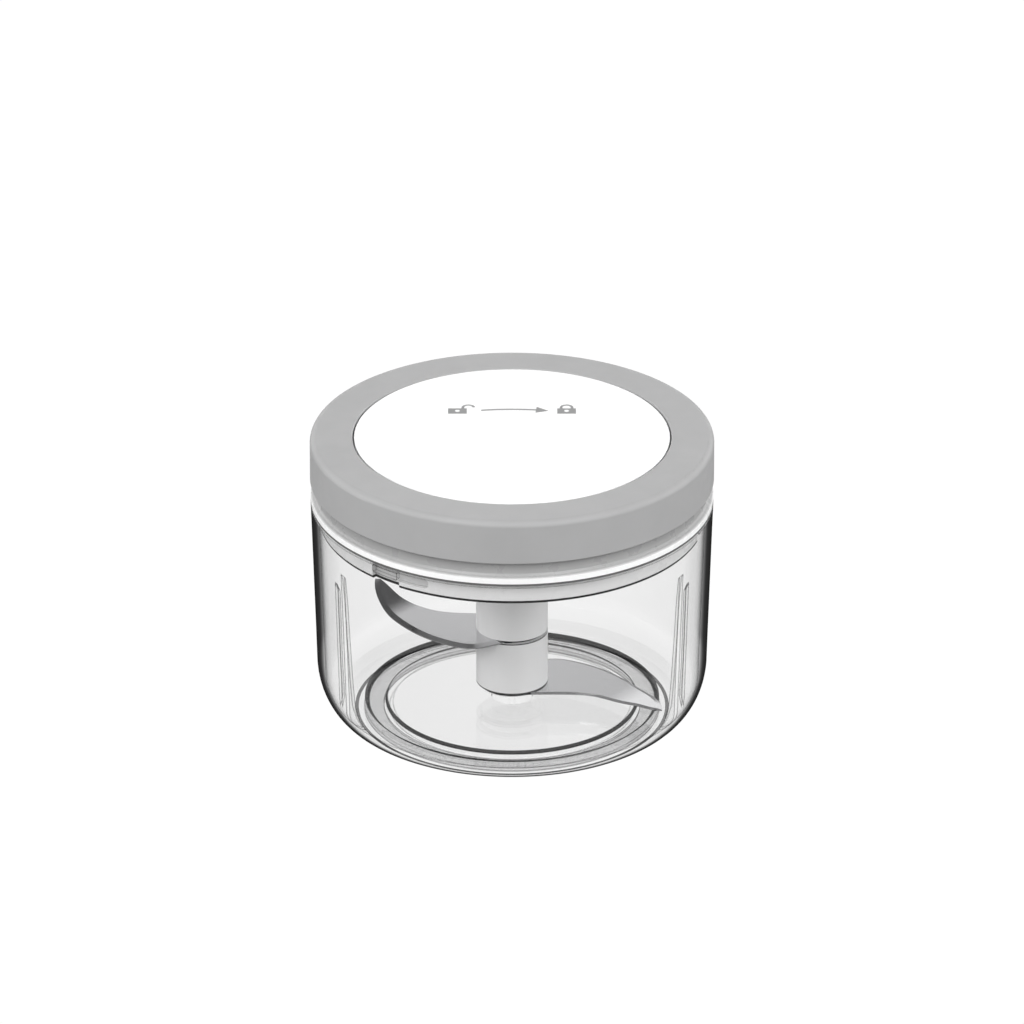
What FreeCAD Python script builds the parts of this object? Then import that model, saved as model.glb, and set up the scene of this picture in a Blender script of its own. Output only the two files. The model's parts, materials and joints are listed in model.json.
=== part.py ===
import FreeCAD, Part
import math
import os

# Hand-pulled food processor, in millimetres. +Z is up and the origin is the middle of the base.
# The front is -Y. The pull handle is at the back, +Y.

V = FreeCAD.Vector
ORIGIN = V(0, 0, 0)
UP = V(0, 0, 1)
FRONT = 270.0  # polar angle of the front, in degrees from +X
BACK = 90.0

# Bowl
RIM_Z = 70.9
RIM_R = 61.85
WALL = 2.2
CORNER_R = 60.15  # outer radius where the wall meets the corner curve
CORNER_Z = 18.3
CORNER_WIDTH = 12.5
INNER_R = 57.6  # the same for the inside, where the corner starts lower
INNER_Z = 11.7
MIDDLE = CORNER_R - CORNER_WIDTH  # where the corner curve reaches the foot
RIM_IN = RIM_R - WALL
FOOT_Z = 0.4
FLOOR_Z = 3.8
GROOVE_IN = 38.6
GROOVE_OUT = 44.8
BOSS_R = 5.6
BOSS_Z = 7.0
RIB_ANGLES = (FRONT - 61, FRONT + 61, BACK)
RIB_WIDTH = 2.0
RIB_PROFILE = [
    (60.0, 59.7),
    (58.6, 58.0),
    (57.9, 50.0),
    (57.1, 36.0),
    (56.2, 22.0),
    (55.4, 13.0),
    (53.8, 8.0),
    (51.0, 3.0),
    (63.0, 3.0),
    (63.0, 59.7),
]
FLUTE_WIDTH = 1.3  # groove outside, behind each rib
FLUTE_PROFILE = [
    (61.5, 57.0),
    (60.3, 54.0),
    (59.6, 30.0),
    (58.9, 18.0),
    (60.0, 13.0),
    (63.0, 12.0),
    (63.0, 57.0),
]

# Bayonet between the bowl and the lid: three lugs in L-shaped slots
LUG_COUNT = 3
TWIST = 10.0  # degrees the lid turns to lock, clockwise seen from above
SLOT_START = FRONT - 46.0
SLOT_SPAN = 20.5
LUG_START = SLOT_START + 0.6
LUG_SPAN = 9.2
LUG_R = 57.9
LUG_Z = (66.5, 68.6)
SLOT_Z = (65.9, 69.2)

# Grip ring under the foot
GRIP_R = (39.6, 45.6)
GRIP_Z = 1.4

# Lid
LID_R = 62.0
LID_Z = 92.5
RING_BOTTOM = 78.3
RING_FILLET = 2.0
RING_IN = 48.9
DISC_R = 48.4
DISC_BOTTOM = 90.35
SKIRT_R = 59.0
SKIRT_Z = 63.8
LIP_R = 61.8
LIP_Z = 71.65
NECK_R = 60.2
LID_FLOOR = (69.8, 71.8)
LID_WALL_IN = 57.0
SCREW_CIRCLE = 52.5
SCREW_ANGLES = (45, 135, 225, 315)

# Pull handle and its bay, centred on the back
BAY_HALF = 30.2
BAY_BACK_R = (49.8, 51.6)
HANDLE_HALF = 28.5
HANDLE_R = (52.2, 61.9)
HANDLE_Z = (79.0, 88.8)
ARCH_HALF = 12.5
ARCH_Z = 81.4
POCKET_Z = 75.0

# Blades and hub
HUB_R = 11.06
HUB_TOP = 60.0
PIN_R = 2.5
PIN_Z = (5.4, 44.0)
CORE_R = 6.5
CORE_FLAT = 5.6
BORE_R = 3.6
BLADE_T = 1.0
BLADE_DISC_R = 9.9  # round middle of each blade, hidden between the two hub barrels
LOW_BLADE_Z = 8.3
LOW_BLADE_TURN = 2.4
LOW_BLADE_REACH = 1.02  # length of each blade beside the outline below
HIGH_BLADE_Z = 26.6
HIGH_BLADE_TURN = 180.0
HIGH_BLADE_REACH = 0.965
BLADE_LEADING = [
    (3.0, 11.0),
    (7.0, 13.0),
    (11.0, 14.6),
    (15.0, 14.6),
    (19.0, 13.0),
    (23.4, 10.4),
    (29.7, 5.0),
    (36.2, -3.4),
    (39.8, -9.8),
    (42.4, -16.5),
    (43.8, -22.5),
    (44.0, -29.2),
]
BLADE_TRAILING = [
    (42.3, -28.4),
    (40.2, -25.9),
    (36.6, -20.9),
    (32.6, -16.9),
    (28.2, -13.4),
    (24.6, -11.3),
    (19.3, -9.8),
    (11.0, -9.2),
    (4.0, -9.0),
]
BEND_POINT = (28.7, -14.4)  # where the tip starts to turn up
BEND_AXIS = 48.5  # direction of the bend's axis in plan, in degrees from +X
BEND_RISE = 12.0  # degrees that the tip turns up
BEND_R = 42.0
BEVEL_DEPTH = 0.65  # of the ground cutting edge
BEVEL_WIDTH = 1.6

# Drive
LOBE_COUNT = 3
LOBE_HALF = 15.0
DRIVE_GAP = 1.0  # degrees between a lobe and the face that pushes it
LOBE_R = 8.0
SOCKET_R = (8.3, 10.2)
SOCKET_Z = (60.4, 69.7)
JOURNAL_R = 8.0
BUSH_R = 9.6
BUSH_TOP = 73.4
HEX_FLAT = 5.5
HEX_TOP = 79.6
RUNNING = 0.05  # radial clearance of a running fit
DOG_R = 9.6
DOG_Z = (76.7, 79.0)
TOOTH_H = 0.9
TOOTH_COUNT = 6
SPOOL_Z = (79.95, 87.6)
SPOOL_R = 22.0
DRUM_R = (13.6, 16.0)
WINDING_R = 17.6
COVER_Z = (87.9, 89.3)
COVER_R = 34.0
COVER_CIRCLE = 30.0
COVER_ANGLES = (30, 150, 270)
ARBOR_R = 4.6
CORD_R = 0.8
CORD_Z = 84.0
CORD_TURN_Y = 48.6  # where the cord bends into the eyelet
SPRING_T = 0.3
SPRING_TURNS = 7.5


def cyl(radius, low, high, x=0.0, y=0.0):
    return Part.makeCylinder(radius, high - low, V(x, y, low))


def ring(outer, inner, low, high, x=0.0, y=0.0):
    return cyl(outer, low, high, x, y).cut(cyl(inner, low - 1, high + 1, x, y))


def sector(outer, inner, low, high, start, end):
    """Part of a ring between two polar angles."""
    wedge = Part.makeCylinder(outer, high - low, V(0, 0, low), UP, end - start)
    wedge.rotate(ORIGIN, UP, start)
    return wedge.cut(cyl(inner, low - 1, high + 1))


def turned(shape, angle):
    copy = shape.copy()
    copy.rotate(ORIGIN, UP, angle)
    return copy


def around(shape, count):
    return [turned(shape, 360.0 / count * i) for i in range(count)]


def polar(radius, angle):
    return radius * math.cos(math.radians(angle)), radius * math.sin(math.radians(angle))


def joined(shapes):
    return shapes[0].multiFuse(shapes[1:]).removeSplitter()


def polygon(points, z=0.0):
    return Part.Face(Part.makePolygon([V(x, y, z) for x, y in points + points[:1]]))


def revolved(points):
    """A solid turned about Z from a closed outline of (radius, height) points."""
    outline = [V(r, 0, z) for r, z in points + points[:1]]
    return Part.Face(Part.makePolygon(outline)).revolve(ORIGIN, UP, 360)


def upright(points, width):
    """A plate of the given width, standing on the +X radius, from (radius, height) points."""
    outline = Part.makePolygon([V(r, -width / 2, z) for r, z in points + points[:1]])
    return Part.Face(outline).extrude(V(0, width, 0))


def revolved_edges(edges):
    return Part.Face(Part.Wire(edges)).revolve(ORIGIN, UP, 360)


def line(a, b):
    return Part.makeLine(V(a[0], 0, a[1]), V(b[0], 0, b[1]))


def chain(points):
    return [line(a, b) for a, b in zip(points, points[1:])]


def curve(points):
    spline = Part.BSplineCurve()
    spline.interpolate([V(*p) for p in points])
    return spline.toShape()


def corner_points(wall_r, wall_z, floor_z, count=14):
    """Points along a quarter of an ellipse, from the floor up to the wall."""
    width, height = wall_r - MIDDLE, wall_z - floor_z
    steps = [math.pi / 2 * i / count for i in range(count + 1)]
    return [
        (MIDDLE + width * math.sin(s), 0, wall_z - height * math.cos(s)) for s in steps
    ]


def rod(start, end, radius):
    direction = end.sub(start)
    return Part.makeCylinder(radius, direction.Length, start, direction)


def hex_prism(flat, low, high):
    corners = [polar(flat / math.cos(math.radians(30)), 60 * i) for i in range(6)]
    return polygon(corners, low).extrude(V(0, 0, high - low))


def coil(radius, wire, low, high, turns, sides=24):
    """A round-wire helical spring between two heights, bent from short straight lengths."""
    rise = high - low - 2 * wire
    count = int(turns * sides)
    points = []
    for i in range(count + 1):
        x, y = polar(radius, 360.0 * turns * i / count)
        points.append(V(x, y, low + wire + rise * i / count))
    section = Part.Wire(Part.makeCircle(wire, points[0], points[1].sub(points[0])))
    return Part.makePolygon(points).makePipeShell([section], True, False, 1)


# ---------------------------------------------------------------- bowl


def outer_edges():
    under = [(0, 1.8), (36.8, 1.8), (37.8, FOOT_Z), (MIDDLE, FOOT_Z)]
    wall = [(CORNER_R, CORNER_Z), (RIM_R, RIM_Z - 0.5), (RIM_R - 0.5, RIM_Z)]
    return chain(under) + [curve(corner_points(CORNER_R, CORNER_Z, FOOT_Z))] + chain(wall)


def make_bowl():
    filled = revolved_edges(
        outer_edges() + chain([(RIM_R - 0.5, RIM_Z), (0, RIM_Z), (0, 1.8)])
    )
    down = chain([(RIM_R - 0.5, RIM_Z), (RIM_IN, RIM_Z), (INNER_R, INNER_Z)])
    inside = curve(corner_points(INNER_R, INNER_Z, FLOOR_Z))
    groove = [
        (MIDDLE, FLOOR_Z),
        (GROOVE_OUT + 0.3, FLOOR_Z),
        (GROOVE_OUT - 0.2, FLOOR_Z - 0.4),
        (GROOVE_OUT - 0.4, FLOOR_Z - 1.0),
        (GROOVE_OUT - 2.0, FLOOR_Z - 1.2),
        (GROOVE_IN + 1.6, FLOOR_Z - 1.2),
        (GROOVE_IN + 0.4, FLOOR_Z - 1.0),
        (GROOVE_IN + 0.2, FLOOR_Z - 0.3),
        (GROOVE_IN - 0.2, FLOOR_Z),
        (BOSS_R + 0.8, FLOOR_Z),
        (BOSS_R, BOSS_Z),
        (0, BOSS_Z),
        (0, 1.8),
    ]
    shell = revolved_edges(outer_edges() + down + [inside] + chain(groove))
    rib = upright(RIB_PROFILE, RIB_WIDTH)
    ribs = [turned(rib, angle).common(filled) for angle in RIB_ANGLES]
    flutes = [turned(upright(FLUTE_PROFILE, FLUTE_WIDTH), angle) for angle in RIB_ANGLES]
    lug = sector(60.6, LUG_R, LUG_Z[0], LUG_Z[1], LUG_START, LUG_START + LUG_SPAN)
    bowl = joined([shell] + ribs + around(lug, LUG_COUNT))
    cuts = flutes + [ring(GRIP_R[1], GRIP_R[0], FOOT_Z - 1, GRIP_Z), pin_blank()]
    return bowl.cut(Part.makeCompound(cuts))


def pin_blank():
    """The pin and the flange that anchors it in the boss."""
    return joined([cyl(PIN_R, PIN_Z[0], PIN_Z[1]), cyl(4.0, PIN_Z[0], PIN_Z[0] + 0.8)])


def make_pivot_pin():
    pin = pin_blank()
    return pin.makeChamfer(0.7, [e for e in pin.Edges if e.BoundBox.ZMin > PIN_Z[1] - 0.1])


# ---------------------------------------------------------------- blades


def blade_plan(reach):
    """The blade seen from above. Reach stretches it along and across."""
    front = [(x * reach, y * reach, 0) for x, y in [(0.0, 10.6)] + BLADE_LEADING]
    back = [(x * reach, y * reach, 0) for x, y in BLADE_TRAILING + [(0.0, -9.0)]]
    tip = Part.makeLine(V(*front[-1]), V(*back[0]))
    root = Part.makeLine(V(*back[-1]), V(*front[0]))
    return Part.Face(Part.Wire([curve(front), tip, curve(back), root]))


def arc_edge(a, b, c):
    """An arc in the XZ plane through three (x, z) points."""
    return Part.Arc(V(a[0], 0, a[1]), V(b[0], 0, b[1]), V(c[0], 0, c[1])).toShape()


def bent_sheet():
    """A wide sheet of blade steel, flat up to the bend and turned up past it."""
    across = math.radians(BEND_AXIS - 90)
    start = BEND_POINT[0] * math.cos(across) + BEND_POINT[1] * math.sin(across)
    rise = math.radians(BEND_RISE)
    edges, far_ends, tips = [], [], []
    for radius in (BEND_R, BEND_R - BLADE_T):
        bend = [
            (start + radius * math.sin(t), BEND_R - radius * math.cos(t)) for t in (0, rise / 2, rise)
        ]
        far_ends.append((-30.0, bend[0][1]))
        tips.append((bend[2][0] + 30 * math.cos(rise), bend[2][1] + 30 * math.sin(rise)))
        edges += [line(far_ends[-1], bend[0]), arc_edge(*bend), line(bend[2], tips[-1])]
    edges += [line(*far_ends), line(*tips)]
    sheet = Part.Face(Part.Wire(Part.__sortEdges__(edges))).extrude(V(0, 160, 0))
    return turned(sheet.translated(V(0, -80, 0)), BEND_AXIS - 90)


def face_normal(face):
    return face.normalAt(*face.Surface.parameter(face.CenterOfMass))


def make_blade(z, angle, reach):
    column = blade_plan(reach).extrude(V(0, 0, 30)).translated(V(0, 0, -5))
    plate = column.common(bent_sheet())
    tops = [f for f in plate.Faces if face_normal(f).z > 0.9]
    sides = [f for f in plate.Faces if abs(face_normal(f).z) < 0.3]
    leading = max(sides, key=lambda f: f.CenterOfMass.x + f.CenterOfMass.y)
    sharp = [e for e in leading.Edges if any(e.isSame(other) for f in tops for other in f.Edges)]
    plate = plate.makeChamfer(BEVEL_DEPTH, BEVEL_WIDTH, sharp)
    blade = joined([plate, cyl(BLADE_DISC_R, 0, BLADE_T)])
    blade = blade.cut(core_section(-1, BLADE_T + 1))
    return turned(blade.translated(V(0, 0, z)), angle)


def core_section(low, high):
    """The keyed spigot that the blades and the lower hub slide onto."""
    box = Part.makeBox(4 * CORE_R, 2 * CORE_FLAT, high - low, V(-2 * CORE_R, -CORE_FLAT, low))
    return cyl(CORE_R, low, high).common(box)


def make_hub_upper():
    body = cyl(HUB_R, HIGH_BLADE_Z + BLADE_T, HUB_TOP)
    body = body.makeChamfer(0.5, [e for e in body.Edges if e.BoundBox.ZMin > HUB_TOP - 0.1])
    spigot = core_section(LOW_BLADE_Z, HIGH_BLADE_Z + BLADE_T + 1)
    lobe = sector(LOBE_R, 1.0, HUB_TOP - 1, HUB_TOP + 6.2, -LOBE_HALF, LOBE_HALF)
    head = cyl(4.6, HUB_TOP - 1, HUB_TOP + 6.4)
    hub = joined([body, spigot, head] + around(lobe, LOBE_COUNT))
    return hub.cut(cyl(BORE_R, LOW_BLADE_Z - 1, 47))


def make_hub_lower():
    low = LOW_BLADE_Z + BLADE_T
    return cyl(HUB_R, low, HIGH_BLADE_Z).cut(core_section(low - 1, HIGH_BLADE_Z + 1))


def make_hub_cap():
    plate = ring(9.4, 2.9, LOW_BLADE_Z - 0.5, LOW_BLADE_Z)
    return joined([plate, ring(BORE_R, 2.9, LOW_BLADE_Z - 0.5, LOW_BLADE_Z + 3.6)])


# ---------------------------------------------------------------- lid shell


def bay_shell():
    """Walls of the bay that the pull handle rests in."""
    low, high = LID_FLOOR[0], DISC_BOTTOM - 0.5
    back = sector(BAY_BACK_R[1], BAY_BACK_R[0], low, high, BACK - BAY_HALF - 1.4, BACK + BAY_HALF + 1.4)
    sides = [
        sector(SKIRT_R + 0.2, BAY_BACK_R[0], low, high, BACK + a, BACK + a + 1.4)
        for a in (-BAY_HALF - 1.4, BAY_HALF)
    ]
    return [back] + sides


def make_lid_base():
    shell = revolved(
        [
            (BUSH_R, LID_FLOOR[0]),
            (56.4, LID_FLOOR[0]),
            (56.4, SKIRT_Z),
            (SKIRT_R - 0.3, SKIRT_Z),
            (SKIRT_R, SKIRT_Z + 0.4),
            (SKIRT_R, LIP_Z),
            (LIP_R, LIP_Z),
            (LIP_R, LIP_Z + 1.6),
            (LIP_R - 0.4, LIP_Z + 2.0),
            (NECK_R + 0.6, LIP_Z + 2.3),
            (NECK_R + 0.1, LIP_Z + 2.9),
            (NECK_R, LIP_Z + 4.0),
            (NECK_R, RING_BOTTOM),
            (SKIRT_R + 0.2, RING_BOTTOM),
            (SKIRT_R + 0.2, 82.0),
            (LID_WALL_IN, 82.0),
            (LID_WALL_IN, LID_FLOOR[1]),
            (11.8, LID_FLOOR[1]),
            (11.8, BUSH_TOP),
            (BUSH_R, BUSH_TOP),
        ]
    )
    posts = []
    for angle in SCREW_ANGLES:
        posts.append(cyl(3.4, LID_FLOOR[1] - 0.5, 80.0, *polar(SCREW_CIRCLE, angle)))
    for angle in COVER_ANGLES:
        posts.append(cyl(3.2, LID_FLOOR[1] - 0.5, COVER_Z[0], *polar(COVER_CIRCLE, angle)))
    base = joined([shell] + posts + bay_shell())
    cuts = []
    for angle in SCREW_ANGLES:
        x, y = polar(SCREW_CIRCLE, angle)
        cuts += [cyl(1.7, 69, 81, x, y), cyl(3.1, 69, 71.5, x, y)]
    for angle in COVER_ANGLES:
        cuts.append(cyl(1.2, 78.0, 90, *polar(COVER_CIRCLE, angle)))
    entry = sector(60, 57.5, SKIRT_Z - 1, SLOT_Z[1], SLOT_START, SLOT_START + LUG_SPAN + 1.2)
    run_end = SLOT_START + SLOT_SPAN
    run = sector(60, 57.5, SLOT_Z[0], SLOT_Z[1], SLOT_START, run_end - 1.6)
    middle_z = (SLOT_Z[0] + SLOT_Z[1]) / 2
    nose_from = V(*polar(57.5, run_end - 1.6), middle_z)
    nose_to = V(*polar(60.5, run_end - 1.6), middle_z)
    nose = rod(nose_from, nose_to, (SLOT_Z[1] - SLOT_Z[0]) / 2).common(ring(60, 57.5, 60, 72))
    for cut in (entry, run, nose):
        cuts += around(cut, LUG_COUNT)
    cuts.append(sector(63, LID_WALL_IN - 0.5, POCKET_Z, 84, BACK - ARCH_HALF - 2, BACK + ARCH_HALF + 2))
    cuts.append(sector(63, LID_WALL_IN - 0.5, RING_BOTTOM + 0.1, 84, BACK - BAY_HALF, BACK + BAY_HALF))
    cuts.append(rod(V(0, 45, CORD_Z), V(0, 55, CORD_Z), 1.9))
    return base.cut(Part.makeCompound(cuts))


def make_lid_ring():
    turn = LID_R - RING_FILLET
    half_way = RING_FILLET * math.sin(math.pi / 4)
    middle = (turn + half_way, LID_Z - RING_FILLET + half_way)
    arc = arc_edge((turn, LID_Z), middle, (LID_R, LID_Z - RING_FILLET))
    below = [
        (LID_R, LID_Z - RING_FILLET),
        (LID_R, RING_BOTTOM + 0.4),
        (LID_R - 0.4, RING_BOTTOM),
        (59.6, RING_BOTTOM),
        (59.6, 90.1),
        (49.2, 90.1),
        (49.2, 88.6),
        (46.5, 88.6),
        (46.5, DISC_BOTTOM - 0.05),
        (RING_IN, DISC_BOTTOM - 0.05),
        (RING_IN, LID_Z - 0.3),
        (RING_IN + 0.3, LID_Z),
        (turn, LID_Z),
    ]
    shell = revolved_edges([arc] + chain(below))
    posts = [cyl(3.4, 80.0, 90.5, *polar(SCREW_CIRCLE, a)) for a in SCREW_ANGLES]
    holes = [cyl(1.45, 79, 88.5, *polar(SCREW_CIRCLE, a)) for a in SCREW_ANGLES]
    window = sector(64, 51.7, 77, 89.2, BACK - BAY_HALF + 0.6, BACK + BAY_HALF - 0.6)
    return joined([shell] + posts).cut(Part.makeCompound(holes + [window]))


def disc_face(radius, x, y):
    return Part.Face(Part.Wire(Part.makeCircle(radius, V(x, y, 0))))


def box_face(left, low, right, high):
    return polygon([(left, low), (right, low), (right, high), (left, high)])


def padlock(x, swing):
    """Outline of a padlock. Its shackle is moved sideways by swing, and one leg is out if it is open."""
    body = box_face(x - 2.9, 15.7, x + 2.9, 19.6).cut(disc_face(0.75, x, 17.8))
    top = disc_face(2.1, x + swing, 20.3).cut(disc_face(1.25, x + swing, 20.3))
    top = top.cut(box_face(x + swing - 3, 17, x + swing + 3, 20.3))
    left = x + swing - 2.1
    parts = [body, top, box_face(left, 19.6, left + 0.85, 20.3)]
    if not swing:
        parts.append(box_face(x + 1.25, 19.6, x + 2.1, 20.3))
    return parts


def arrow_and_locks():
    """Flat outlines of the twist-to-lock sign: two padlocks and a curved arrow between them."""
    radius, middle_y = 60.0, 18.9
    outer = disc_face(radius + 0.5, 0, middle_y - radius)
    band = outer.cut(disc_face(radius - 0.5, 0, middle_y - radius)).common(box_face(-9.5, 10, 8.0, 25))
    head = polygon([(7.2, 16.4), (11.3, 17.8), (7.6, 20.7)])
    return padlock(-16.8, 3.35) + padlock(16.8, 0.0) + [band, head]


def mark_solid(low, high):
    solids = [f.extrude(V(0, 0, high - low)) for f in arrow_and_locks()]
    return joined([s.translated(V(0, 0, low)) for s in solids])


def make_top_cover():
    rim = [(DISC_R, DISC_BOTTOM), (DISC_R, LID_Z - 0.3), (DISC_R - 0.3, LID_Z)]
    disc = revolved([(0, DISC_BOTTOM)] + rim + [(0, LID_Z)])
    skirt = ring(46.2, 44.6, 88.2, DISC_BOTTOM + 0.3)
    clip = sector(47.4, 44.6, 87.6, 88.5, -8, 8)
    cover = joined([disc, skirt] + [turned(clip, a) for a in (0, 90, 180, 270)])
    return cover.cut(mark_solid(LID_Z - 0.15, LID_Z + 1))


# ---------------------------------------------------------------- drive


def make_coupler():
    cup = cyl(SOCKET_R[1], *SOCKET_Z).cut(cyl(SOCKET_R[0], SOCKET_Z[0] - 1, 67.0))
    start = LOBE_HALF + TWIST + 1.5
    end = 360.0 / LOBE_COUNT - LOBE_HALF - DRIVE_GAP
    tooth = sector(SOCKET_R[0] + 0.5, 5.2, SOCKET_Z[0], 67.5, start, end)
    journal = cyl(JOURNAL_R, SOCKET_Z[1] - 1, 74.5)
    shaft = joined([cup, journal, hex_prism(HEX_FLAT, 74.0, HEX_TOP)] + around(tooth, LOBE_COUNT))
    groove = ring(12, 7.3, 73.5, 74.2)
    return shaft.cut(groove).cut(cyl(PIN_R + RUNNING, 74.6, HEX_TOP + 1))


def make_retaining_clip():
    clip = ring(9.2, 7.3, 73.5, 74.2)
    return clip.cut(sector(12, 1, 73, 75, -20, 20))


def tooth(direction):
    """One ratchet tooth along +X. It rises from the plane z=0 towards +Z or -Z by the sign given."""
    section = [(0.0, 0.0), (0.0, TOOTH_H), (4.0, 0.0)]
    points = [V(7.2, t * direction, h * direction) for t, h in section + section[:1]]
    return Part.Face(Part.makePolygon(points)).extrude(V(2.0, 0, 0))


def make_clutch_dog():
    plate = cyl(DOG_R, *DOG_Z).cut(hex_prism(HEX_FLAT + RUNNING, DOG_Z[0] - 1, DOG_Z[1] + 1))
    teeth = around(tooth(1).translated(V(0, 0, DOG_Z[1] - 0.01)), TOOTH_COUNT)
    return joined([plate] + teeth)


def make_spool():
    low, high = SPOOL_Z
    plate = cyl(SPOOL_R, low, low + 1.25)
    drum = ring(DRUM_R[1], DRUM_R[0], low + 1, high)
    flange = ring(SPOOL_R, DRUM_R[0], high - 1, high)
    teeth = around(tooth(-1).translated(V(0, -0.15, low + 0.01)), TOOTH_COUNT)
    spool = joined([plate, drum, flange] + teeth)
    return spool.cut(cyl(PIN_R + RUNNING, low - 2, high + 1))


def make_winding():
    """The wound cord, as a ring with one groove per turn on its outer face."""
    low, high = SPOOL_Z[0] + 1.25, SPOOL_Z[1] - 1
    outline = [(DRUM_R[1], low), (WINDING_R - 0.5, low)]
    rows = int((high - low) / (2 * CORD_R))
    pitch = (high - low) / rows
    for i in range(rows):
        outline += [(WINDING_R, low + pitch * (i + 0.5))]
        if i < rows - 1:
            outline += [(WINDING_R - 0.5, low + pitch * (i + 1))]
    outline += [(WINDING_R - 0.5, high), (DRUM_R[1], high)]
    return revolved(outline)


def make_return_spring():
    """Flat spiral spring between the fixed arbor and the spool's drum."""
    inner, outer = ARBOR_R + 0.3, DRUM_R[0] - 0.5
    count = int(SPRING_TURNS * 16)
    sides = []
    for offset in (0.0, SPRING_T):
        points = []
        for i in range(count + 1):
            radius = inner + (outer - inner) * i / count + offset
            x, y = polar(radius, 360.0 * SPRING_TURNS * i / count)
            points.append((x, y, 0))
        sides.append(points)
    edges = [curve(sides[0]), curve(sides[1])]
    edges += [Part.makeLine(V(*sides[0][i]), V(*sides[1][i])) for i in (0, -1)]
    face = Part.Face(Part.Wire(Part.__sortEdges__(edges)))
    return face.extrude(V(0, 0, 4.6)).translated(V(0, 0, 81.7))


def make_drive_cover():
    plate = cyl(COVER_R, *COVER_Z)
    arbor = cyl(ARBOR_R, 81.6, COVER_Z[0] + 0.5)
    holes = [cyl(1.2, 87, 90, *polar(COVER_CIRCLE, a)) for a in COVER_ANGLES]
    return joined([plate, arbor]).cut(Part.makeCompound(holes + [cyl(PIN_R, 80, 90)]))


def pan_screw(x, y, head_z, head_r, head_h, shank_r, length, up):
    """A screw whose head sits on head_z and whose shank runs away from the head."""
    sign = 1 if up else -1
    low_head, high_head = sorted((head_z, head_z - sign * head_h))
    low_shank, high_shank = sorted((head_z, head_z + sign * length))
    head = cyl(head_r, low_head, high_head, x, y)
    slots = []
    face = head_z - sign * head_h
    for size in ((0.6, 2.6), (2.6, 0.6)):
        corner = V(x - size[0] / 2, y - size[1] / 2, face - 0.4)
        slots.append(Part.makeBox(*size, 0.8, corner))
    return joined([head, cyl(shank_r, low_shank, high_shank, x, y)]).cut(Part.makeCompound(slots))


# ---------------------------------------------------------------- cord and handle


def cord_path():
    """Where the cord leaves the winding, and where it turns into the eyelet."""
    reach = WINDING_R + CORD_R + 0.3
    angle = math.degrees(math.asin(reach / CORD_TURN_Y))
    return V(*polar(reach, angle), CORD_Z), V(0, CORD_TURN_Y, CORD_Z)


def make_cord_run():
    leave, bend = cord_path()
    through = V(0, BAY_BACK_R[1] + 0.3, CORD_Z)
    ball = Part.makeSphere(CORD_R, bend)
    return joined([rod(leave, bend, CORD_R), ball, rod(bend, through, CORD_R)])


def make_eyelet():
    tube = rod(V(0, BAY_BACK_R[0] - 0.5, CORD_Z), V(0, BAY_BACK_R[1] + 0.2, CORD_Z), 1.9)
    flange = rod(V(0, BAY_BACK_R[0] - 0.6, CORD_Z), V(0, BAY_BACK_R[0] - 0.1, CORD_Z), 2.7)
    hole = rod(V(0, 40, CORD_Z), V(0, 60, CORD_Z), 1.05)
    return joined([tube, flange]).cut(hole)


def make_handle():
    bar = sector(HANDLE_R[1], HANDLE_R[0], *HANDLE_Z, BACK - HANDLE_HALF, BACK + HANDLE_HALF)
    ends = [e for e in bar.Edges if e.BoundBox.ZLength > 5 and abs(e.BoundBox.Center.x) > 20]
    bar = bar.makeFillet(2.5, ends)
    arch = sector(HANDLE_R[1] + 3, HANDLE_R[0] - 3, 70, ARCH_Z, BACK - ARCH_HALF, BACK + ARCH_HALF)
    bar = bar.cut(arch)
    rims = [e for e in bar.Edges if e.BoundBox.ZLength < 0.01 and e.BoundBox.YMin > 53.5]
    bar = bar.makeFillet(0.8, [e for e in rims if e.Length > 10])
    bar = bar.cut(rod(V(0, 50, CORD_Z), V(0, 64, CORD_Z), CORD_R))
    return bar.cut(rod(V(0, 57.4, CORD_Z), V(0, 64, CORD_Z), 2.1))


def make_cord_tail():
    return rod(V(0, BAY_BACK_R[1] + 0.35, CORD_Z), V(0, 57.9, CORD_Z), CORD_R)


def make_cord_knot():
    ball = Part.makeSphere(1.8, V(0, 59.2, CORD_Z))
    return ball.cut(make_cord_tail())


def make_knot_cap():
    start = V(0, 61.0, CORD_Z)
    return rod(start, V(0, 61.7, CORD_Z), 2.1)


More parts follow.
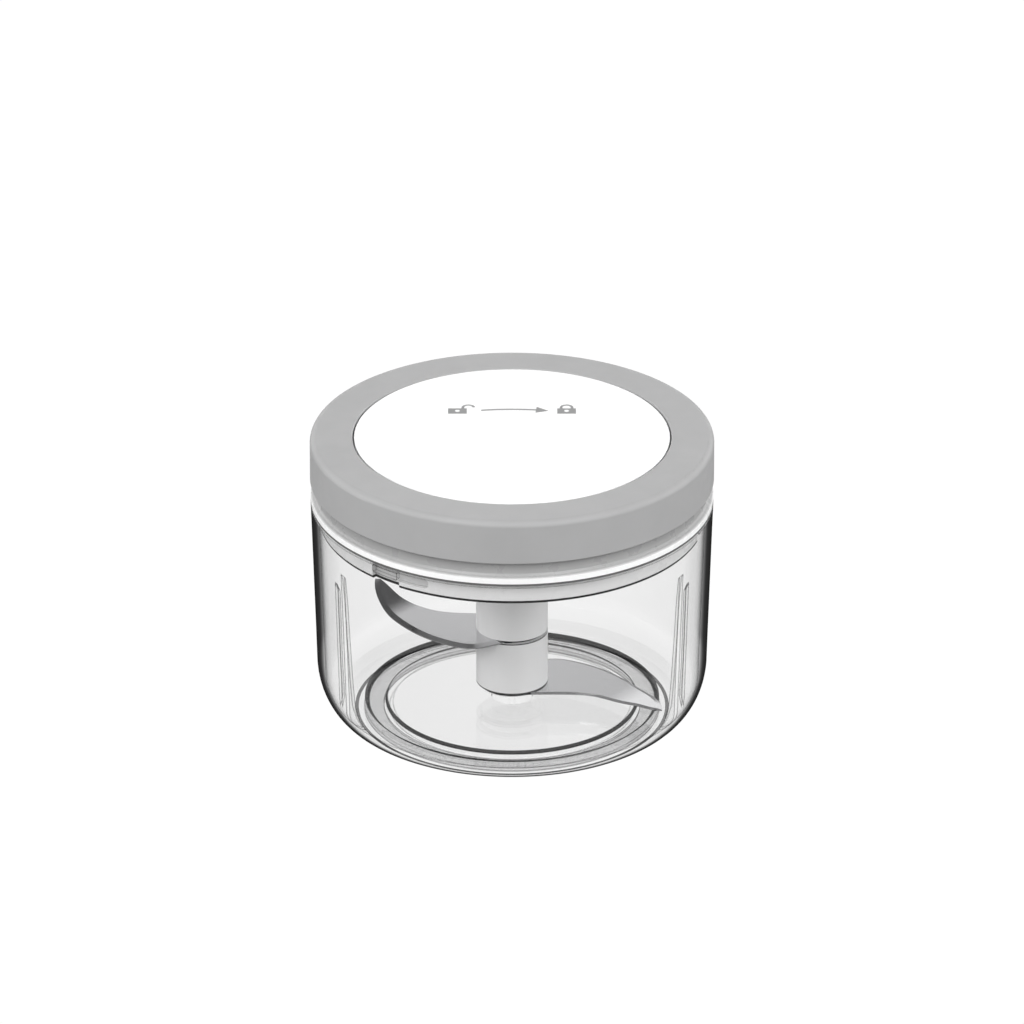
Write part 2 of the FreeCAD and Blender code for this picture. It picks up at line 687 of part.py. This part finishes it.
NODES = {
    "bowl": make_bowl(),
    "foot_grip": ring(GRIP_R[1], GRIP_R[0], 0, GRIP_Z),
    "pivot_pin": make_pivot_pin(),
    "thrust_washer": ring(6.2, PIN_R + RUNNING, BOSS_Z + 0.05, LOW_BLADE_Z - 0.55),
    "hub_upper": make_hub_upper(),
    "hub_lower": make_hub_lower(),
    "upper_blade": make_blade(HIGH_BLADE_Z, HIGH_BLADE_TURN, HIGH_BLADE_REACH),
    "lower_blade": make_blade(LOW_BLADE_Z, LOW_BLADE_TURN, LOW_BLADE_REACH),
    "hub_bush": ring(BORE_R, PIN_R + RUNNING, 12.0, 42.0),
    "hub_cap": make_hub_cap(),
    "lid_seal": ring(LIP_R, 59.35, RIM_Z + 0.05, LIP_Z - 0.05),
    "lid_base": make_lid_base(),
    "lid_ring": make_lid_ring(),
    "top_cover": make_top_cover(),
    "lid_mark": mark_solid(LID_Z - 0.15, LID_Z),
    "lid_screws": Part.makeCompound(
        [pan_screw(*polar(SCREW_CIRCLE, a), 71.5, 2.8, 1.5, 1.45, 16.0, True) for a in SCREW_ANGLES]
    ),
    "drive_bush": ring(BUSH_R, JOURNAL_R + RUNNING, LID_FLOOR[0], BUSH_TOP),
    "drive_coupler": make_coupler(),
    "retaining_clip": make_retaining_clip(),
    "clutch_spring": coil(8.6, 0.25, 74.25, DOG_Z[0] - 0.05, 2.5),
    "clutch_dog": make_clutch_dog(),
    "spool": make_spool(),
    "cord_winding": make_winding(),
    "return_spring": make_return_spring(),
    "spindle": cyl(PIN_R, 75.0, COVER_Z[1]),
    "drive_cover": make_drive_cover(),
    "cover_screws": Part.makeCompound(
        [pan_screw(*polar(COVER_CIRCLE, a), COVER_Z[1], 2.3, 0.9, 1.2, 9.0, False) for a in COVER_ANGLES]
    ),
    "cord_run": make_cord_run(),
    "cord_eyelet": make_eyelet(),
    "pull_handle": make_handle(),
    "cord_tail": make_cord_tail(),
    "cord_knot": make_cord_knot(),
    "knot_cap": make_knot_cap(),
}

os.makedirs("parts", exist_ok=True)
for name, shape in NODES.items():
    shape.exportStep(f"parts/{name}.step")
    box = shape.BoundBox
    print(
        f"{name:16s} solids {len(shape.Solids)} valid {shape.isValid()} volume {shape.Volume:9.1f}"
        f"  x {box.XMin:6.1f} {box.XMax:6.1f}  y {box.YMin:6.1f} {box.YMax:6.1f}"
        f"  z {box.ZMin:6.2f} {box.ZMax:6.2f}"
    )
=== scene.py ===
import json
import math

import bpy
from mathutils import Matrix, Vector


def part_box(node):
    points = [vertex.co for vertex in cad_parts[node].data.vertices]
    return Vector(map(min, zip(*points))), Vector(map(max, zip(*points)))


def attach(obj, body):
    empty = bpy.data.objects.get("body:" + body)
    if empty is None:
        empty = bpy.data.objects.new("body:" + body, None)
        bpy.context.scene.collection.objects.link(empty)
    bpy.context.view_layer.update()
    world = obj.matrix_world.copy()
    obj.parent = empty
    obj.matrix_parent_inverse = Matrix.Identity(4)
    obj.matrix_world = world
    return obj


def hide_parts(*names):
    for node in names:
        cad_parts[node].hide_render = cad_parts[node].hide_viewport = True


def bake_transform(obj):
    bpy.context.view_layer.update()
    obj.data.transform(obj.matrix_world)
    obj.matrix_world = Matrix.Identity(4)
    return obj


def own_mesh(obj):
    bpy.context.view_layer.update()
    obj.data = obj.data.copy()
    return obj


# Hand-pulled food processor: camera, floor, light and materials round the CAD frame, in metres.

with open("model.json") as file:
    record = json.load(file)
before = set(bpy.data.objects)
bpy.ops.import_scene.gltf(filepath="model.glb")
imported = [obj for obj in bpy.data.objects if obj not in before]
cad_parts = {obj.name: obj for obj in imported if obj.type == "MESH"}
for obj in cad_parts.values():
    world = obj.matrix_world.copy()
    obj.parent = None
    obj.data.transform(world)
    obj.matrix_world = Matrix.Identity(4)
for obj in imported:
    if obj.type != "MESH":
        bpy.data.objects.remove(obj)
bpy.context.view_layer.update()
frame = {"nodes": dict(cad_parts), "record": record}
nodes = frame["nodes"]
scene = bpy.context.scene
scene.view_settings.view_transform = "Standard"

# ------------------------------------------------------------------ driving numbers

ELEVATION = math.radians(25.5)
DISTANCE = 4.0
AIM = Vector((0, 0, 0.0665))
LENS = 457.7

SWEEP_SEEN = 1.02  # how bright the floor looks
SWEEP_BOUNCE = 0.30  # how bright it is to the light that it sends back up
SWEEP_HALF = 4.0
SWEEP_DROP = 0.0001  # the floor lies this far under the base

# The studio is bright at the horizon and dark above it, so that steel and gloss have something to mirror.
# Each stop is (upward part of the direction, grey).
SKY = [(0.0, 1.0), (0.20, 1.0), (0.43, 0.74), (0.54, 0.30), (0.60, 0.08), (0.80, 0.08), (1.0, 0.3)]
SKY_LEVEL = 1.35

# name, azimuth from the front, elevation, distance, size, level, mirrored by glossy surfaces
SOFTBOXES = [
    ("key_left", -30, 40, 1.5, 0.8, 0.38, True),
    ("key_right", 30, 40, 1.5, 0.8, 0.33, True),
    ("side_left", -90, 20, 1.5, 0.7, 0.27, False),
    ("side_right", 90, 20, 1.5, 0.7, 0.30, False),
    ("back_left", -138, 40, 1.5, 0.5, 0.12, False),
    ("back_right", 138, 40, 1.5, 0.5, 0.12, False),
]

OPEN = -1.0  # a lower limit that is always passed

# Shaded zones: (radii), (heights), share of the light that stays
SLOT_ZONE = (0.0571, 0.0579), (0.0640, 0.0695), 0.74
SKIRT_ZONE = (OPEN, 0.0592), (OPEN, 0.0716), 0.84
HEM_HEIGHTS, HEM_SHARE = (0.0630, 0.0647), 0.02
FOOT_ZONE = (0.0474, 0.0485), (OPEN, 0.0009), 0.10
DISC_R, DISC_SHARE = 0.0107, 0.08

# Painted shade under the ring: the neck darkens upwards, from the lip to the underside of the ring:
# (centimetres above NECK_FROM, grey)
NECK_FROM = 0.070
NECK_SHADE = [
    (0.0, 1.0),
    (0.325, 1.0),
    (0.335, 0.68),
    (0.37, 0.46),
    (0.46, 0.38),
    (0.60, 0.35),
    (0.83, 0.30),
]
# Painted shade under the lid: the hub darkens towards the lid: (decimetres above the base, grey)
HUB_TOP_SHADE = [(0.0, 1.0), (0.40, 1.0), (0.62, 0.84)]
HUB_LINE = 0.0004  # height of the painted shade line on the edge beside each blade
HUB_LINE_FROM_R = 0.0105
HUB_LINE_SHARE = 0.10
HUB_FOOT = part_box("hub_lower")[0][2]
HUB_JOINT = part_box("hub_lower")[1][2]

# Light that gets through the clear plastic's two skins, from seen square on to seen edge on
OUTER_PASS = [
    (0.0, 0.975),
    (0.55, 0.965),
    (0.66, 0.93),
    (0.71, 0.82),
    (0.74, 0.60),
    (0.77, 0.36),
    (0.81, 0.16),
    (1.0, 0.10),
]
INNER_PASS = [(0.0, 0.975), (0.60, 0.965), (0.80, 0.90), (1.0, 0.60)]
MIRRORED_SHARE = [(0.0, 0.012), (0.50, 0.03), (0.72, 0.05), (0.85, 0.01), (1.0, 0.0)]
EDGE_WIDTH = 0.0007
EDGE_PASS = [(0.012, 1.0), (0.16, 0.12)]
LUG_RADII, LUG_HEIGHTS, LUG_EDGE_SHARE = (OPEN, 0.0591), (0.0655, 0.0695), 0.25
# The groove's walls are painted dark, standing in for the darkness that refraction gives them.
GROOVE_INNER_WALL = (0.0384, 0.0391), (0.0027, 0.0041)
GROOVE_OUTER_WALL = (0.0440, 0.0455), (0.0024, 0.0041)
GROOVE_PASS = 0.09
BOSS_R = 0.012
BOSS_HEIGHTS = (0.0046, 0.0075)
BOSS_PASS = 0.97
PLATE_Z = 0.005
PLATE_PASS = 0.985
PLATE_GLOSS = 0.07
LEVEL = 0.9  # a face whose normal is this upright is level

CORD_SIDES = 16
CORD_ROWS = 60
CORD_R = 0.0008

# ------------------------------------------------------------------ node helpers


def new_material(name):
    mat = bpy.data.materials.new(name)
    mat.use_nodes = True
    mat.node_tree.nodes.clear()
    return mat, mat.node_tree


def add(tree, kind, **inputs):
    """A node with its inputs set, by name or as i0, i1. A value that is a socket is linked."""
    node = tree.nodes.new(kind)
    for key, value in inputs.items():
        if hasattr(node, key) and key not in node.inputs:
            setattr(node, key, value)
            continue
        numbered = key[0] == "i" and key[1:].isdigit()
        socket = node.inputs[int(key[1:]) if numbered else key.replace("_", " ")]
        if isinstance(value, bpy.types.NodeSocket):
            tree.links.new(value, socket)
        else:
            socket.default_value = value
    return node


def math_node(tree, operation, a, b=0.0):
    return add(tree, "ShaderNodeMath", operation=operation, i0=a, i1=b).outputs[0]


def ramp(tree, value, stops):
    """A colour ramp. Each stop is (place, grey) or (place, (r, g, b))."""
    node = add(tree, "ShaderNodeValToRGB", Fac=value)
    elements = node.color_ramp.elements
    while len(elements) < len(stops):
        elements.new(0.5)
    for element, (place, colour) in zip(elements, stops):
        element.position = place
        rgb = colour if hasattr(colour, "__len__") else (colour,) * 3
        element.color = (*rgb, 1)
    return node.outputs["Color"]


def dimmed(tree, mask, share):
    """White where a mask is 0, and grey of that share where it is 1."""
    return ramp(tree, mask, [(0.0, 1.0), (1.0, share)])


def position(tree, scale=(1, 1, 1)):
    """Where a point is at rest, in metres times scale."""
    coordinates = add(tree, "ShaderNodeTexCoord").outputs["Object"]
    mapping = add(tree, "ShaderNodeMapping", Vector=coordinates)
    mapping.inputs["Scale"].default_value = scale
    return mapping.outputs["Vector"]


def noise(tree, vector, scale, detail=3.0, roughness=0.5):
    node = add(tree, "ShaderNodeTexNoise", Vector=vector, Scale=scale, Detail=detail, Roughness=roughness)
    return node.outputs["Fac"]


def bump(tree, height, strength, distance):
    return add(tree, "ShaderNodeBump", Height=height, Strength=strength, Distance=distance).outputs["Normal"]


def combine(tree, first, *others):
    """The product of several numbers."""
    for other in others:
        first = math_node(tree, "MULTIPLY", first, other)
    return first


def between(tree, value, low, high):
    """1 where a value lies between two limits, else 0."""
    above = math_node(tree, "GREATER_THAN", value, low)
    return combine(tree, above, math_node(tree, "LESS_THAN", value, high))


def zone(tree, radius, z, radii, heights):
    """1 inside a ring round the hub's axis, else 0."""
    return combine(tree, between(tree, radius, *radii), between(tree, z, *heights))


def polar_parts(tree):
    """A point's place at rest: flat, without its height; its distance from the hub's axis; its height."""
    where = add(tree, "ShaderNodeTexCoord").outputs["Object"]
    apart = add(tree, "ShaderNodeSeparateXYZ", Vector=where)
    flat = add(tree, "ShaderNodeCombineXYZ", X=apart.outputs[0], Y=apart.outputs[1]).outputs[0]
    radius = add(tree, "ShaderNodeVectorMath", operation="LENGTH", i0=flat).outputs["Value"]
    return flat, radius, apart.outputs[2]


def dot(tree, a, b):
    return add(tree, "ShaderNodeVectorMath", operation="DOT_PRODUCT", i0=a, i1=b).outputs["Value"]


def multiplied(tree, colour, *layers):
    """A colour times other colours."""
    for layer in layers:
        tint = add(tree, "ShaderNodeMix", data_type="RGBA", blend_type="MULTIPLY")
        tint.inputs["Factor"].default_value = 1.0
        tree.links.new(colour, tint.inputs["A"])
        tree.links.new(layer, tint.inputs["B"])
        colour = tint.outputs["Result"]
    return colour


def finish_material(tree, shader):
    output = tree.nodes.new("ShaderNodeOutputMaterial")
    tree.links.new(shader, output.inputs["Surface"])


# ------------------------------------------------------------------ camera, floor and light

camera = bpy.data.objects.new("camera", bpy.data.cameras.new("camera"))
scene.collection.objects.link(camera)
camera.data.sensor_width = 36
camera.data.lens = LENS
camera.data.clip_start = 0.1
camera.data.clip_end = 50
back = Vector((0, -math.cos(ELEVATION), math.sin(ELEVATION)))
camera.location = AIM + back * DISTANCE
camera.rotation_mode = "QUATERNION"
camera.rotation_quaternion = (-back).to_track_quat("-Z", "Y")
scene.camera = camera


def white_sweep(name):
    """The floor: white to look at, and a dim grey bounce for the light that it sends back up."""
    mat, tree = new_material(name)
    seen = add(tree, "ShaderNodeLightPath").outputs["Is Camera Ray"]
    extra = math_node(tree, "MULTIPLY", seen, SWEEP_SEEN - SWEEP_BOUNCE)
    strength = math_node(tree, "ADD", extra, SWEEP_BOUNCE)
    finish_material(tree, add(tree, "ShaderNodeEmission", Strength=strength).outputs[0])
    return mat


sweep_mesh = bpy.data.meshes.new("floor")
corners = [(x * SWEEP_HALF, y * SWEEP_HALF, 0) for x, y in ((-1, -1), (1, -1), (1, 1), (-1, 1))]
sweep_mesh.from_pydata(corners, [], [(0, 1, 2, 3)])
floor = bpy.data.objects.new("floor", sweep_mesh)
scene.collection.objects.link(floor)
floor.location.z = -SWEEP_DROP
sweep_mesh.materials.append(white_sweep("floor_white"))

world = bpy.data.worlds.new("world")
scene.world = world
world.use_nodes = True
sky_tree = world.node_tree
direction = add(sky_tree, "ShaderNodeTexCoord").outputs["Generated"]
height = add(sky_tree, "ShaderNodeSeparateXYZ", Vector=direction).outputs[2]
background = sky_tree.nodes["Background"]
sky_tree.links.new(ramp(sky_tree, height, SKY), background.inputs["Color"])
background.inputs["Strength"].default_value = SKY_LEVEL


def softbox(name, azimuth, elevation, distance, size, level, mirrored):
    """A square light aimed at the object. Level is how bright it makes a white surface that faces it."""
    data = bpy.data.lights.new(name, "AREA")
    data.shape = "SQUARE"
    data.size = size
    data.energy = level * math.pi**2 * distance**2
    light = bpy.data.objects.new(name, data)
    light.visible_glossy = mirrored
    scene.collection.objects.link(light)
    a, e = math.radians(azimuth), math.radians(elevation)
    towards = Vector((math.sin(a) * math.cos(e), -math.cos(a) * math.cos(e), math.sin(e)))
    light.location = AIM + towards * distance
    light.rotation_euler = (-towards).to_track_quat("-Z", "Y").to_euler()


for row in SOFTBOXES:
    softbox(*row)

# ------------------------------------------------------------------ shaded recesses


def lid_shade(tree):
    """Shade in the lid's recesses: the neck under the ring, the slots, the skirt and its lower edge."""
    _, radius, z = polar_parts(tree)
    centimetres = math_node(tree, "MULTIPLY", math_node(tree, "SUBTRACT", z, NECK_FROM), 100.0)
    layers = [ramp(tree, centimetres, NECK_SHADE)]
    for radii, heights, share in (SLOT_ZONE, SKIRT_ZONE):
        layers.append(dimmed(tree, zone(tree, radius, z, radii, heights), share))
    layers.append(dimmed(tree, between(tree, z, *HEM_HEIGHTS), HEM_SHARE))
    return multiplied(tree, *layers)


def hub_shade(tree):
    """Painted shade: soft under the lid at the hub's top, and a dark line on the edge beside each blade."""
    _, radius, z = polar_parts(tree)
    under_lid = ramp(tree, math_node(tree, "MULTIPLY", z, 10.0), HUB_TOP_SHADE)
    foot = between(tree, z, HUB_FOOT, HUB_FOOT + HUB_LINE)
    joint = between(tree, z, HUB_JOINT - HUB_LINE, HUB_JOINT)
    outside = math_node(tree, "GREATER_THAN", radius, HUB_LINE_FROM_R)
    line = combine(tree, math_node(tree, "MAXIMUM", foot, joint), outside)
    return multiplied(tree, under_lid, dimmed(tree, line, HUB_LINE_SHARE))


def disc_shade(tree):
    """Painted shade on the blade's disc, which is clamped in the gap between two barrels of the hub."""
    _, radius, _ = polar_parts(tree)
    return dimmed(tree, math_node(tree, "LESS_THAN", radius, DISC_R), DISC_SHARE)


# ------------------------------------------------------------------ materials


def plastic(name, colour, rough, spread, grain, shade=None):
    """Moulded plastic: a faint mottle, uneven gloss and a very fine moulded grain."""
    mat, tree = new_material(name)
    where = position(tree)
    low = tuple(max(c * (1 - spread), 0) for c in colour)
    high = tuple(min(c * (1 + spread), 1) for c in colour)
    base = ramp(tree, noise(tree, where, 60, 4), [(0.3, low), (0.7, high)])
    if shade:
        base = multiplied(tree, base, shade(tree))
    gloss = ramp(tree, noise(tree, where, 180, 5), [(0.3, rough * 0.85), (0.75, min(rough * 1.2, 1))])
    normal = bump(tree, noise(tree, where, 2600, 2), grain, 0.00004)
    shader = add(tree, "ShaderNodeBsdfPrincipled", Base_Color=base, Roughness=gloss, Normal=normal)
    shader.inputs["Specular IOR Level"].default_value = 0.4
    finish_material(tree, shader.outputs[0])
    return mat


def brushed_steel(name, colour, rough, along=(14, 420, 90), shade=None):
    """Ground metal: fine streaks along one axis in colour, gloss and bump."""
    mat, tree = new_material(name)
    streaks = noise(tree, position(tree, along), 4, 6, 0.65)
    smudge = noise(tree, position(tree), 45, 3)
    base = ramp(tree, streaks, [(0.3, tuple(c * 0.94 for c in colour)), (0.7, colour)])
    if shade:
        base = multiplied(tree, base, shade(tree))
    uneven = math_node(tree, "MULTIPLY", streaks, smudge)
    gloss = ramp(tree, uneven, [(0.15, rough * 0.85), (0.4, rough * 1.2)])
    shader = add(tree, "ShaderNodeBsdfPrincipled", Base_Color=base, Metallic=1.0, Roughness=gloss)
    tree.links.new(bump(tree, streaks, 0.03, 0.000003), shader.inputs["Normal"])
    finish_material(tree, shader.outputs[0])
    return mat


def is_outer_skin(tree, geometry, flat, normal_z):
    """1 on faces that look outwards or down, whichever side they are seen from, else 0."""
    outward = add(tree, "ShaderNodeVectorMath", operation="NORMALIZE", i0=flat).outputs["Vector"]
    away = math_node(tree, "SUBTRACT", dot(tree, outward, geometry.outputs["Normal"]), normal_z)
    # A face seen from behind has its normal turned round, so this turns it back.
    flip = math_node(tree, "SUBTRACT", 1.0, math_node(tree, "MULTIPLY", geometry.outputs["Backfacing"], 2.0))
    return math_node(tree, "GREATER_THAN", combine(tree, away, flip), 0.0)


def edge_lines(tree, geometry, radius, z):
    """Dark along sharp edges, faint on the lugs and absent on the boss."""
    rounded = add(tree, "ShaderNodeBevel", samples=4, Radius=EDGE_WIDTH).outputs[0]
    turned = math_node(tree, "SUBTRACT", 1.0, dot(tree, rounded, geometry.outputs["Normal"]))
    off_boss = math_node(tree, "GREATER_THAN", radius, BOSS_R)
    off_lug = dimmed(tree, zone(tree, radius, z, LUG_RADII, LUG_HEIGHTS), LUG_EDGE_SHARE)
    return ramp(tree, combine(tree, turned, off_boss, off_lug), EDGE_PASS)


def clear_plastic(name):
    """Clear moulded styrene. Its outer skin goes dark where it is seen edge on, as thick clear walls do,
    its inner skin less so, and every sharp edge shows as a thin dark line."""
    mat, tree = new_material(name)
    flat, radius, z = polar_parts(tree)
    geometry = add(tree, "ShaderNodeNewGeometry")
    normal_z = add(tree, "ShaderNodeSeparateXYZ", Vector=geometry.outputs["Normal"]).outputs[2]
    facing = add(tree, "ShaderNodeLayerWeight", Blend=0.5).outputs["Facing"]

    skin = add(tree, "ShaderNodeMix", data_type="RGBA", Factor=is_outer_skin(tree, geometry, flat, normal_z))
    tree.links.new(ramp(tree, facing, INNER_PASS), skin.inputs["A"])
    tree.links.new(ramp(tree, facing, OUTER_PASS), skin.inputs["B"])
    boss = zone(tree, radius, z, (OPEN, BOSS_R), BOSS_HEIGHTS)
    least = math_node(tree, "MULTIPLY", boss, BOSS_PASS)
    skin_pass = math_node(tree, "MAXIMUM", skin.outputs["Result"], least)

    # Painted dark on the groove's walls, in place of the darkness that refraction gives them.
    walls = [zone(tree, radius, z, *wall) for wall in (GROOVE_INNER_WALL, GROOVE_OUTER_WALL)]
    groove = math_node(tree, "MAXIMUM", *walls)
    foot_radii, foot_heights, foot_share = FOOT_ZONE
    level = math_node(tree, "GREATER_THAN", math_node(tree, "ABSOLUTE", normal_z), LEVEL)
    base_plate = combine(tree, level, math_node(tree, "LESS_THAN", z, PLATE_Z))
    passed = multiplied(
        tree,
        skin_pass,
        edge_lines(tree, geometry, radius, z),
        dimmed(tree, groove, GROOVE_PASS),
        dimmed(tree, zone(tree, radius, z, foot_radii, foot_heights), foot_share),
        dimmed(tree, base_plate, PLATE_PASS),
    )
    glass = add(tree, "ShaderNodeBsdfTransparent", Color=passed)
    gloss = ramp(tree, noise(tree, position(tree), 90, 4), [(0.3, 0.02), (0.8, 0.06)])
    shine = add(tree, "ShaderNodeBsdfGlossy", Color=(1, 1, 1, 1), Roughness=gloss)
    plate_share = math_node(tree, "MULTIPLY", base_plate, PLATE_GLOSS)
    share = math_node(tree, "ADD", ramp(tree, facing, MIRRORED_SHARE), plate_share)
    mixed = add(tree, "ShaderNodeMixShader", Fac=share, i1=glass.outputs[0], i2=shine.outputs[0])
    finish_material(tree, mixed.outputs[0])
    return mat


def rubber(name, colour, clarity=0.0):
    """Moulded rubber: matt, mottled, finely grained. Clarity is the share of light that goes through."""
    mat, tree = new_material(name)
    where = position(tree)
    base = ramp(tree, noise(tree, where, 200, 3), [(0.3, tuple(c * 0.92 for c in colour)), (0.7, colour)])
    normal = bump(tree, noise(tree, where, 1800, 2), 0.3, 0.00005)
    shader = add(tree, "ShaderNodeBsdfPrincipled", Base_Color=base, Roughness=0.6, Normal=normal)
    if clarity:
        through = add(tree, "ShaderNodeBsdfTransparent", Color=(0.9, 0.9, 0.9, 1))
        shader = add(tree, "ShaderNodeMixShader", Fac=clarity, i1=shader.outputs[0], i2=through.outputs[0])
    finish_material(tree, shader.outputs[0])
    return mat


def braid(name, colour):
    """Braided cord: two crossing sets of strands."""
    mat, tree = new_material(name)
    where = position(tree)
    waves = []
    for turn in (1, -1):
        mapping = add(tree, "ShaderNodeMapping", Vector=where)
        mapping.inputs["Rotation"].default_value = (0, 0.78 * turn, 0.6 * turn)
        wave = add(tree, "ShaderNodeTexWave", Vector=mapping.outputs[0], Scale=420, Distortion=0.4)
        waves.append(wave.outputs["Fac"])
    weave = math_node(tree, "MAXIMUM", *waves)
    base = ramp(tree, weave, [(0.2, tuple(c * 0.55 for c in colour)), (0.8, colour)])
    normal = bump(tree, weave, 0.6, 0.0002)
    shader = add(
        tree, "ShaderNodeBsdfPrincipled", Base_Color=base, Roughness=0.8, Normal=normal, Sheen_Weight=0.3
    )
    finish_material(tree, shader.outputs[0])
    return mat


WHITE = (0.94, 0.94, 0.94)
STEEL = (0.62, 0.62, 0.63)
BY_SLOT = {
    "clear_plastic": clear_plastic("clear_styrene"),
    "white_plastic": plastic("white_gloss", WHITE, 0.28, 0.012, 0.12),
    "grey_plastic": plastic("grey_satin", (0.38, 0.38, 0.382), 0.42, 0.03, 0.35),
    "hub_plastic": plastic("hub_satin", (0.80, 0.80, 0.802), 0.38, 0.02, 0.25, hub_shade),
    "steel": brushed_steel("steel_ground", STEEL, 0.15),
    "brass": brushed_steel("brass_turned", (0.72, 0.55, 0.28), 0.3, (60, 60, 260)),
    "silicone": rubber("silicone_grey", (0.80, 0.80, 0.81), clarity=0.78),
    "seal_rubber": rubber("seal_rubber", (0.12, 0.12, 0.12)),
    "mark_ink": plastic("mark_print", (0.27, 0.27, 0.272), 0.5, 0.05, 0.3),
    "cord": braid("cord_braid", (0.62, 0.62, 0.62)),
}
blade_steel = brushed_steel("steel_blade", STEEL, 0.15, shade=disc_shade)
BY_NODE = {
    "lid_base": plastic("shell_white", WHITE, 0.28, 0.012, 0.12, lid_shade),
    "upper_blade": blade_steel,
    "lower_blade": blade_steel,
}
for entry in frame["record"]["subparts"]:
    piece = nodes[entry["node"]]
    piece.data.materials.clear()
    piece.data.materials.append(BY_NODE.get(entry["node"]) or BY_SLOT[entry["material_slot"]])

# ------------------------------------------------------------------ pull cord

low, high = (Vector(c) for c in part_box("cord_tail"))
start = Vector((0, low.y, (low.z + high.z) / 2))
end = Vector((0, high.y, start.z))
verts, faces = [], []
for i in range(CORD_ROWS + 1):
    y = start.y + (end.y - start.y) * i / CORD_ROWS
    for k in range(CORD_SIDES):
        a = 2 * math.pi * k / CORD_SIDES
        verts.append((CORD_R * math.cos(a), y, start.z + CORD_R * math.sin(a)))
for i in range(CORD_ROWS):
    this_row, next_row = i * CORD_SIDES, (i + 1) * CORD_SIDES
    for k in range(CORD_SIDES):
        n = (k + 1) % CORD_SIDES
        faces.append((this_row + k, this_row + n, next_row + n, next_row + k))
last_row = CORD_ROWS * CORD_SIDES
faces.append(tuple(range(CORD_SIDES)))
faces.append(tuple(range(last_row + CORD_SIDES - 1, last_row - 1, -1)))
tail_mesh = bpy.data.meshes.new("pull_cord")
tail_mesh.from_pydata(verts, [], faces)
tail_mesh.shade_smooth()
tail_mesh.materials.append(BY_SLOT["cord"])
tail = bpy.data.objects.new("pull_cord", tail_mesh)
scene.collection.objects.link(tail)
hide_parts("cord_tail")
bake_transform(tail)

# ------------------------------------------------------------------ clutch spring, carried by the drive

coil = bpy.data.objects.new("clutch_coil", nodes["clutch_spring"].data.copy())
scene.collection.objects.link(coil)
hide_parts("clutch_spring")
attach(coil, "drive")
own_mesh(coil)
